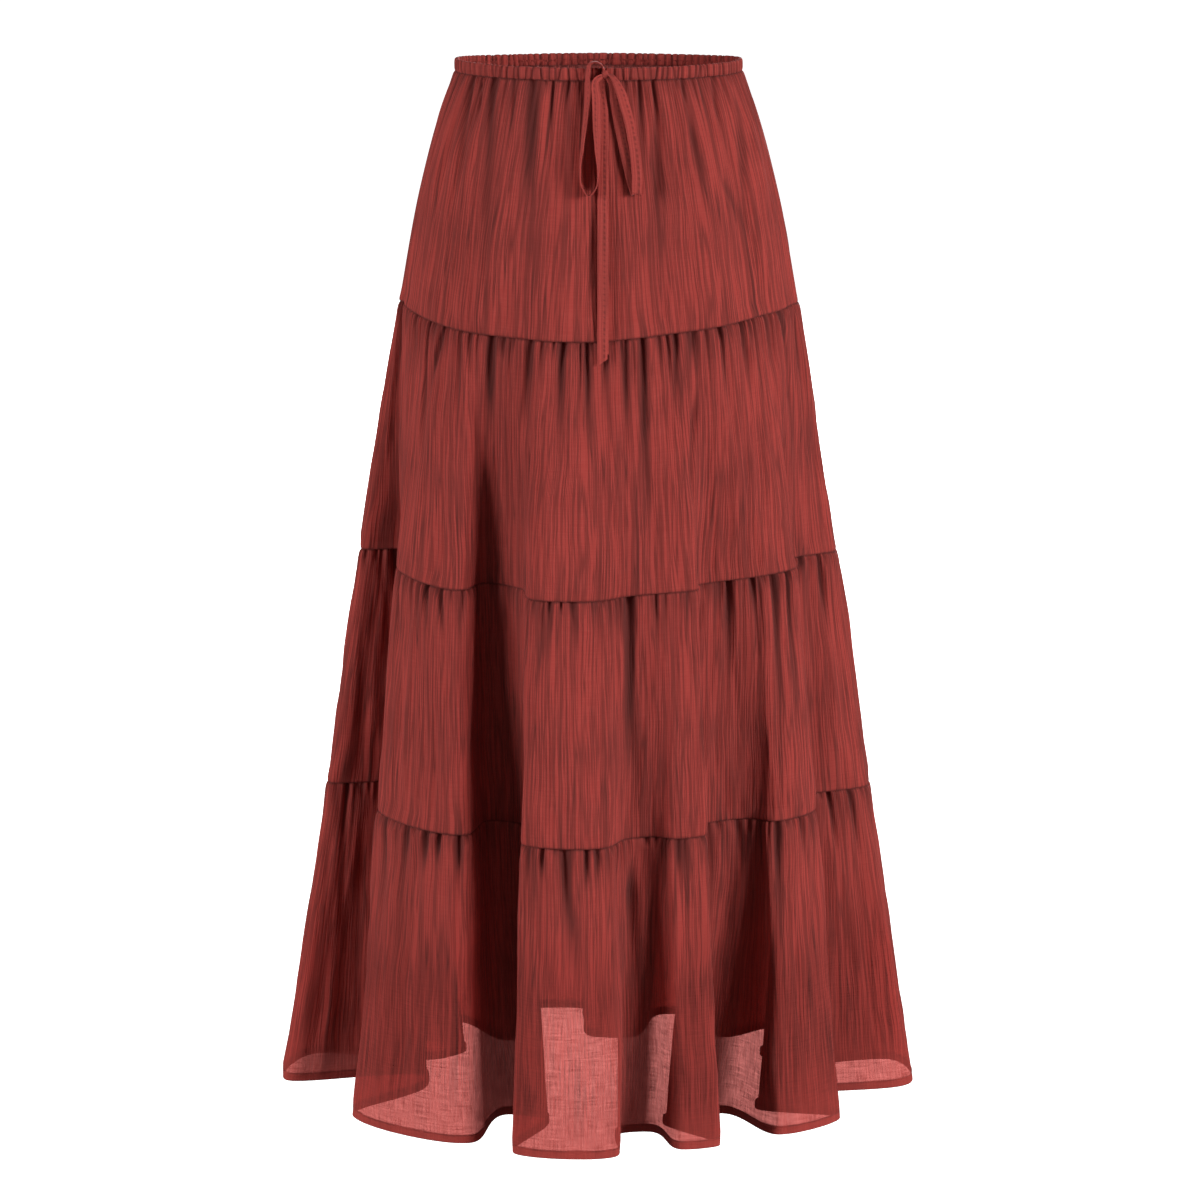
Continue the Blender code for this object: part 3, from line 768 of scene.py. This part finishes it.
# ---------------------------------------------------------------- the bow
# The tie's route, as in the frame: x, drop, standoff from the cloth to the middle of the tie, and
# the direction in plan that its width lies along, in degrees from +X towards the front. The x and
# the drop of each stop were last moved by a separate script.
Stop = namedtuple("Stop", "x drop standoff turn")
LOOP_LEFT = (
    Stop(0.0028, -0.0026, 0.0066, 90),
    Stop(-0.0021, -0.0052, 0.0066, 86),
    Stop(-0.0067, -0.0040, 0.0068, 72),
    Stop(-0.0087, 0.0030, 0.0068, 62),
    Stop(-0.0091, 0.0161, 0.0066, 62),
    Stop(-0.0107, 0.0345, 0.0064, 66),
    Stop(-0.0136, 0.0570, 0.0064, 75),
    Stop(-0.0157, 0.0756, 0.0064, 86),
    Stop(-0.0140, 0.0878, 0.0068, 90),
    Stop(-0.0080, 0.0952, 0.0076, 90),
    Stop(-0.0023, 0.0895, 0.0084, 90),
    Stop(-0.0004, 0.0773, 0.0088, 96),
    Stop(-0.0009, 0.0606, 0.0084, 118),
    Stop(-0.0013, 0.0421, 0.0080, 140),
    Stop(-0.0015, 0.0236, 0.0078, 152),
    Stop(-0.0013, 0.0086, 0.0079, 155),
)
LOOP_RIGHT = (
    Stop(0.0108, 0.0057, 0.0078, -24),
    Stop(0.0135, 0.0084, 0.0084, -22),
    Stop(0.0181, 0.0163, 0.0086, -16),
    Stop(0.0226, 0.0282, 0.0084, -10),
    Stop(0.0267, 0.0419, 0.0080, -4),
    Stop(0.0303, 0.0595, 0.0076, 0),
    Stop(0.0321, 0.0750, 0.0072, 0),
    Stop(0.0327, 0.0881, 0.0066, 0),
    Stop(0.0321, 0.0960, 0.0044, 0),
    Stop(0.0297, 0.0904, 0.0024, 0),
    Stop(0.0258, 0.0764, 0.0022, 0),
    Stop(0.0215, 0.0597, 0.0022, 0),
    Stop(0.0172, 0.0404, 0.0024, 0),
    Stop(0.0141, 0.0246, 0.0042, 0),
    Stop(0.0114, 0.0115, 0.0060, 0),
)
TAIL_BACK = (
    Stop(0.0044, 0.0094, 0.0025, 0),
    Stop(0.0041, 0.0370, 0.0017, 0),
    Stop(0.0040, 0.1102, 0.0017, 0),
    Stop(0.0043, 0.2205, 0.0017, 0),
)
TAIL_FRONT = (
    Stop(0.0038, 0.0094, 0.0040, 0),
    Stop(0.0036, 0.0367, 0.0033, 0),
    Stop(0.0035, 0.1093, 0.0033, 0),
    Stop(0.0033, 0.2296, 0.0033, 0),
)


def in_front(x, drop, standoff):
    """The place over the front cloth at this x and drop, standoff away from its middle surface."""
    params = np.linspace(LEFT_SEAM, RIGHT_SEAM, 40 * (RIGHT_SEAM - LEFT_SEAM) + 1)
    below_top = max(drop, 0.0)
    points, _ = ring(below_top, params)
    nearest = points[np.argmin(np.abs(points[:, 0] - x))]
    return np.array([x, nearest[1] - standoff, nearest[2] + below_top - drop])


# tip is how far the bare end's right corner is cut above its left one.
Tie = namedtuple("Tie", "node stops far_end tip")
TIES = (
    Tie("drawstring_loop_left", LOOP_LEFT, "knot", 0.0),
    Tie("drawstring_loop_right", LOOP_RIGHT, "knot", 0.0),
    Tie("drawstring_tail_back", TAIL_BACK, "bare", -0.006),
    Tie("drawstring_tail_front", TAIL_FRONT, "bare", 0.006),
)
TIE_WALL = 0.0012
TIE_SECTION = 40
# The tie's edge stitching: how far right of its middle it runs, and two stitches' length.
STITCH_PLACE = 0.0020
STITCH_PITCH = 0.0048
# The tie's plain pressed edge, left of its middle, and half the width of either line.
PRESSED_PLACE = -0.0034
LINE_HALF_WIDTH = 0.0005
# How far apart the points of the route are that the tie is made through.
ROUTE_STEP = 0.0012
# How far back from a bare end its slanting cut reaches.
TIP_LENGTH = 0.012


def tie_piece(tie, material):
    """A flat folded tie along its stops: a closed section, a little fuller at its two edges."""
    centres = np.array([in_front(s.x, s.drop, s.standoff) for s in tie.stops])
    low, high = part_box("drawstring_knot")
    knot = (np.array(low) + np.array(high)) / 2
    turn_stops = [s.turn for s in tie.stops]
    centres = np.vstack([knot, centres])
    turn_stops = turn_stops[:1] + turn_stops
    if tie.far_end == "knot":
        centres = np.vstack([centres, knot])
        turn_stops = turn_stops + turn_stops[-1:]
    stations = np.concatenate([[0], np.cumsum(np.linalg.norm(np.diff(centres, axis=0), axis=1))])
    along = np.arange(0, stations[-1], ROUTE_STEP)
    route = np.array([smooth_through(stations, centres, a) for a in along])
    turns = np.radians([smooth_through(stations, turn_stops, a) for a in along])
    tangents = np.gradient(route, axis=0)
    tangents /= np.linalg.norm(tangents, axis=1)[:, None]
    across = np.column_stack([np.cos(turns), -np.sin(turns), 0 * turns])
    across -= tangents * (across * tangents).sum(axis=1)[:, None]
    across /= np.linalg.norm(across, axis=1)[:, None]
    facing = np.cross(across, tangents)
    angle = np.linspace(0, 2 * math.pi, TIE_SECTION, endpoint=False)[:, None]
    sideways = np.sign(np.cos(angle)) * np.abs(np.cos(angle)) ** 0.45
    thick = np.sign(np.sin(angle)) * np.abs(np.sin(angle)) ** 0.8
    full = 0.75 + 0.35 * np.abs(sideways) ** 3
    wave = 0.00015 * soft_noise(along, 0 * along, (0.012, 1.0), 77)
    from_knot = np.linalg.norm(route - knot, axis=1)
    squeezed = 0.40 + 0.60 * np.clip((from_knot - 0.002) / 0.020, 0, 1) ** 0.8
    grid = route + across * (sideways * TIE_WIDTH / 2 * squeezed)[..., None]
    grid = grid + facing * (thick * TIE_WALL / 2 * full + wave)[..., None]
    near_tip = np.clip((along - along[-1] + TIP_LENGTH) / TIP_LENGTH, 0, 1)
    grid[..., 2] += tie.tip / 2 * near_tip * sideways
    uv_across = np.broadcast_to(sideways * TIE_WIDTH / 2, grid.shape[:2])
    uv_along = np.broadcast_to(along, grid.shape[:2])
    uv = np.stack([uv_across, uv_along], axis=-1)
    stitches = 0.55 + 0.3 * np.sign(np.sin(uv_along * 2 * math.pi / STITCH_PITCH))
    stitch_line = stitches * np.exp(-(((uv_across - STITCH_PLACE) / LINE_HALF_WIDTH) ** 2))
    hem_line = 0.30 * np.exp(-(((uv_across - PRESSED_PLACE) / LINE_HALF_WIDTH) ** 2))
    shade = np.stack([np.maximum(stitch_line, hem_line), np.zeros_like(stitch_line)], axis=-1)
    uv_maps = {"cloth": uv, "relief": shade}
    piece = grid_object(f"{tie.node}_tie", grid, uv_maps, material, closed=True)
    place_piece(piece, "tie", tie.node)
    return piece


def knot_piece(material):
    """The tied knot: a small rounded lump with slanting wraps."""
    low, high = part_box("drawstring_knot")
    centre = np.array((low + high) / 2)
    half = np.array((high - low) / 2) * 1.12
    lat = np.linspace(-math.pi / 2, math.pi / 2, 28)[:, None]
    lon = np.linspace(0, 2 * math.pi, 41)[None, :]
    x, y, z = np.cos(lat) * np.sin(lon), -np.cos(lat) * np.cos(lon), np.sin(lat) + 0 * lon
    wraps = 1 + 0.07 * np.cos(11 * (z + 0.45 * x)) * np.cos(lat)
    grid = np.stack([x * wraps * half[0], y * wraps * half[1], z * half[2]], axis=-1) + centre
    uv = np.stack([lon * 0.003 + 0 * lat, lat * 0.003 + 0 * lon], axis=-1)
    # Painted shade between the knot's wraps.
    shade = np.stack([np.clip(5.0 - 5.0 * wraps, 0, 0.5), 0 * wraps], axis=-1)
    piece = grid_object("drawstring_knot_tie", grid, {"cloth": uv, "relief": shade}, material)
    return place_piece(piece, "tie", "drawstring_knot")


# ---------------------------------------------------------------- the studio
FLOOR_LEVEL = -1.02
FLOOR_REACH = 30.0
WALL_HEIGHT = 25.0


def make_floor():
    """A pale floor with a pale wall round it, far off, so that every view has the same plain ground.

    Neither lights the cloth from below or behind: the soft boxes and the sky do that.
    """
    turns = [math.radians(5 * k) for k in range(72)]
    low = [(FLOOR_REACH * math.sin(a), FLOOR_REACH * math.cos(a), 0) for a in turns]
    high = [(x, y, WALL_HEIGHT) for x, y, _ in low]
    count = len(turns)
    wall = [(k, (k + 1) % count, (k + 1) % count + count, k + count) for k in range(count)]
    mesh = bpy.data.meshes.new("floor")
    mesh.from_pydata(low + high, [], [tuple(range(count))] + wall)
    mesh.materials.append(floor_material())
    floor = bpy.data.objects.new("floor", mesh)
    floor.location.z = FLOOR_LEVEL
    floor.visible_diffuse = False
    floor.visible_glossy = False
    floor.visible_shadow = False
    bpy.context.scene.collection.objects.link(floor)


def soft_box(name, place, size, watts):
    data = bpy.data.lights.new(name, "AREA")
    data.shape = "RECTANGLE"
    data.size, data.size_y = size
    data.energy = watts
    lamp = bpy.data.objects.new(name, data)
    lamp.location = place
    aim = Vector((0, 0, -0.45)) - Vector(place)
    lamp.rotation_euler = aim.to_track_quat("-Z", "Y").to_euler()
    bpy.context.scene.collection.objects.link(lamp)


def make_studio():
    world = bpy.data.worlds.new("studio")
    bpy.context.scene.world = world
    world.use_nodes = True
    sky = world.node_tree.nodes["Background"]
    sky.inputs["Color"].default_value = (1.0, 1.0, 1.0, 1.0)
    sky.inputs["Strength"].default_value = 0.16
    soft_box("key", (4.1, -2.9, 0.8), (1.8, 1.8), 325)
    soft_box("fill", (-4.5, -2.1, 0.4), (2.0, 2.0), 235)
    soft_box("back", (0.6, 4.9, 1.0), (2.4, 2.4), 260)
    make_floor()
    bpy.context.scene.view_settings.view_transform = "Standard"


# ---------------------------------------------------------------- everything together
def dress():
    cloth = gauze("gauze", 0.25, seamed=True)
    casing = gauze("casing_gauze", 0.0, 0.7, seamed=True)
    tie = gauze("tie_gauze", 0.0, 0.5, TIE_RED, seamed=True)
    knot_piece(tie)
    for each in TIES:
        tie_piece(each, tie)
    for tier in TIERS:
        for side in PANELS:
            tier_panel(tier, side, cloth)
    for side in PANELS:
        casing_panel(side, casing)


make_studio()
dress()
